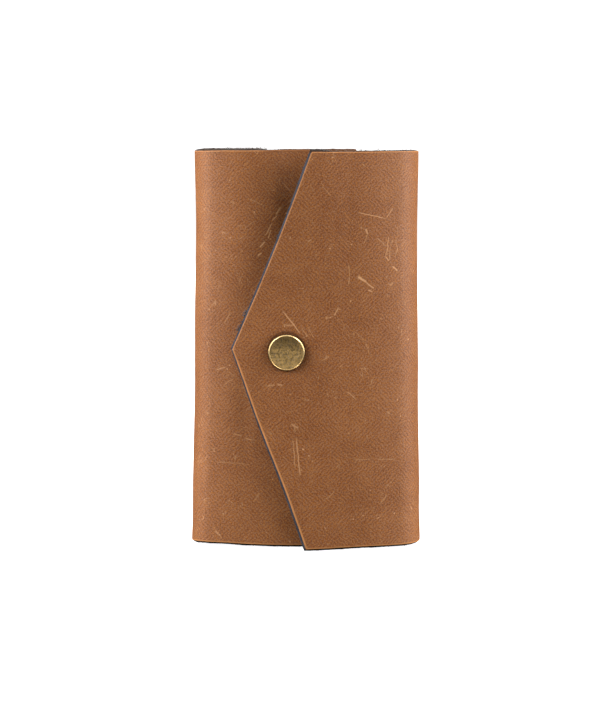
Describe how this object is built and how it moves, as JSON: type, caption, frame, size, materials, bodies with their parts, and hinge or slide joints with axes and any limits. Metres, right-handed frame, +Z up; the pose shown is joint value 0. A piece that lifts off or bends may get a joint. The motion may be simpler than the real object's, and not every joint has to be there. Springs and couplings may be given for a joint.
{
  "type": "key case",
  "caption": "Trifold leather key case with a pointed front flap, a snap button, an under flap and a row of swivelling key hooks on a rail inside.",
  "frame": {"origin": "centre of the closed case's footprint, on the surface it stands on", "axes": "+Z up along the folds, -Y out of the front, where the snap cap is, +X to the right seen from the front, where the front flap is folded"},
  "size_m": [0.062, 0.025, 0.108],
  "materials": {
    "leather": "waxed pull-up, scuffed",
    "antique_brass": "antique, brushed",
    "nickel": "nickel plated",
    "spring_steel": "plain"
  },
  "bodies": {
    "back": {"back_panel": "leather", "key_rail": "nickel", "rail_rivet_caps": "antique_brass", "rail_rivet_posts": "spring_steel"},
    "right_fold_rear": {"right_fold_rear": "leather"},
    "right_fold_middle": {"right_fold_middle": "leather"},
    "right_fold_front": {"right_fold_front": "leather"},
    "left_fold_rear": {"left_fold_rear": "leather"},
    "left_fold_middle": {"left_fold_middle": "leather"},
    "left_fold_front": {"left_fold_front": "leather"},
    "front_flap": {"front_flap": "leather", "snap_cap": "antique_brass", "snap_socket": "antique_brass", "snap_spring": "spring_steel"},
    "under_flap": {"under_flap": "leather", "snap_stud": "antique_brass", "snap_stud_post": "spring_steel"},
    "hook_1": {"hook_1": "nickel", "swivel_1": "nickel"},
    "gate_1": {"gate_1": "spring_steel"},
    "hook_2": {"hook_2": "nickel", "swivel_2": "nickel"},
    "gate_2": {"gate_2": "spring_steel"},
    "hook_3": {"hook_3": "nickel", "swivel_3": "nickel"},
    "gate_3": {"gate_3": "spring_steel"},
    "hook_4": {"hook_4": "nickel", "swivel_4": "nickel"},
    "gate_4": {"gate_4": "spring_steel"},
    "hook_5": {"hook_5": "nickel", "swivel_5": "nickel"},
    "gate_5": {"gate_5": "spring_steel"},
    "hook_6": {"hook_6": "nickel", "swivel_6": "nickel"},
    "gate_6": {"gate_6": "spring_steel"}
  },
  "joints": [
    {"name": "front_flap_fold_1", "type": "hinge", "parent": "back", "child": "right_fold_rear", "pos_m": [0.02508, 0.01103, 0], "axis": [0, 0, 1], "range_deg": [0, 45]},
    {"name": "front_flap_fold_2", "type": "hinge", "parent": "right_fold_rear", "child": "right_fold_middle", "pos_m": [0.02979, 0.00707, 0], "axis": [0, 0, 1], "range_deg": [0, 45]},
    {"name": "front_flap_fold_3", "type": "hinge", "parent": "right_fold_middle", "child": "right_fold_front", "pos_m": [0.03086, 0.00101, 0], "axis": [0, 0, 1], "range_deg": [0, 45]},
    {"name": "front_flap_fold_4", "type": "hinge", "parent": "right_fold_front", "child": "front_flap", "pos_m": [0.02779, -0.00432, 0], "axis": [0, 0, 1], "range_deg": [0, 45]},
    {"name": "under_flap_fold_1", "type": "hinge", "parent": "back", "child": "left_fold_rear", "pos_m": [-0.02574, 0.01109, 0], "axis": [0, 0, 1], "range_deg": [-45, 0]},
    {"name": "under_flap_fold_2", "type": "hinge", "parent": "left_fold_rear", "child": "left_fold_middle", "pos_m": [-0.02993, 0.00757, 0], "axis": [0, 0, 1], "range_deg": [-45, 0]},
    {"name": "under_flap_fold_3", "type": "hinge", "parent": "left_fold_middle", "child": "left_fold_front", "pos_m": [-0.03088, 0.00218, 0], "axis": [0, 0, 1], "range_deg": [-45, 0]},
    {"name": "under_flap_fold_4", "type": "hinge", "parent": "left_fold_front", "child": "under_flap", "pos_m": [-0.02814, -0.00256, 0], "axis": [0, 0, 1], "range_deg": [-45, 0]},
    {"name": "hook_1_swivel", "type": "hinge", "parent": "back", "child": "hook_1", "pos_m": [-0.0175, 0.00627, 0.0898], "axis": [0, 0, 1], "continuous": true},
    {"name": "gate_1_flex", "type": "hinge", "parent": "hook_1", "child": "gate_1", "pos_m": [-0.0152, 0.00627, 0.0855], "axis": [0, 1, 0], "range_deg": [0, 12], "stiffness_Nm_per_rad": 0.01},
    {"name": "hook_2_swivel", "type": "hinge", "parent": "back", "child": "hook_2", "pos_m": [-0.0107, 0.00627, 0.0898], "axis": [0, 0, 1], "continuous": true},
    {"name": "gate_2_flex", "type": "hinge", "parent": "hook_2", "child": "gate_2", "pos_m": [-0.0084, 0.00627, 0.0855], "axis": [0, 1, 0], "range_deg": [0, 12], "stiffness_Nm_per_rad": 0.01},
    {"name": "hook_3_swivel", "type": "hinge", "parent": "back", "child": "hook_3", "pos_m": [-0.0039, 0.00627, 0.0898], "axis": [0, 0, 1], "continuous": true},
    {"name": "gate_3_flex", "type": "hinge", "parent": "hook_3", "child": "gate_3", "pos_m": [-0.0016, 0.00627, 0.0855], "axis": [0, 1, 0], "range_deg": [0, 12], "stiffness_Nm_per_rad": 0.01},
    {"name": "hook_4_swivel", "type": "hinge", "parent": "back", "child": "hook_4", "pos_m": [0.0029, 0.00627, 0.0898], "axis": [0, 0, 1], "continuous": true},
    {"name": "gate_4_flex", "type": "hinge", "parent": "hook_4", "child": "gate_4", "pos_m": [0.0052, 0.00627, 0.0855], "axis": [0, 1, 0], "range_deg": [0, 12], "stiffness_Nm_per_rad": 0.01},
    {"name": "hook_5_swivel", "type": "hinge", "parent": "back", "child": "hook_5", "pos_m": [0.0097, 0.00627, 0.0898], "axis": [0, 0, 1], "continuous": true},
    {"name": "gate_5_flex", "type": "hinge", "parent": "hook_5", "child": "gate_5", "pos_m": [0.012, 0.00627, 0.0855], "axis": [0, 1, 0], "range_deg": [0, 12], "stiffness_Nm_per_rad": 0.01},
    {"name": "hook_6_swivel", "type": "hinge", "parent": "back", "child": "hook_6", "pos_m": [0.0165, 0.00627, 0.0898], "axis": [0, 0, 1], "continuous": true},
    {"name": "gate_6_flex", "type": "hinge", "parent": "hook_6", "child": "gate_6", "pos_m": [0.0188, 0.00627, 0.0855], "axis": [0, 1, 0], "range_deg": [0, 12], "stiffness_Nm_per_rad": 0.01}
  ],
  "couplings": [
    {"joint": "front_flap_fold_2", "follows": "front_flap_fold_1", "ratio": 1},
    {"joint": "front_flap_fold_3", "follows": "front_flap_fold_1", "ratio": 1},
    {"joint": "front_flap_fold_4", "follows": "front_flap_fold_1", "ratio": 1},
    {"joint": "under_flap_fold_1", "follows": "front_flap_fold_1", "ratio": -0.66667},
    {"joint": "under_flap_fold_2", "follows": "front_flap_fold_1", "ratio": -0.66667},
    {"joint": "under_flap_fold_3", "follows": "front_flap_fold_1", "ratio": -0.66667},
    {"joint": "under_flap_fold_4", "follows": "front_flap_fold_1", "ratio": -0.66667}
  ]
}
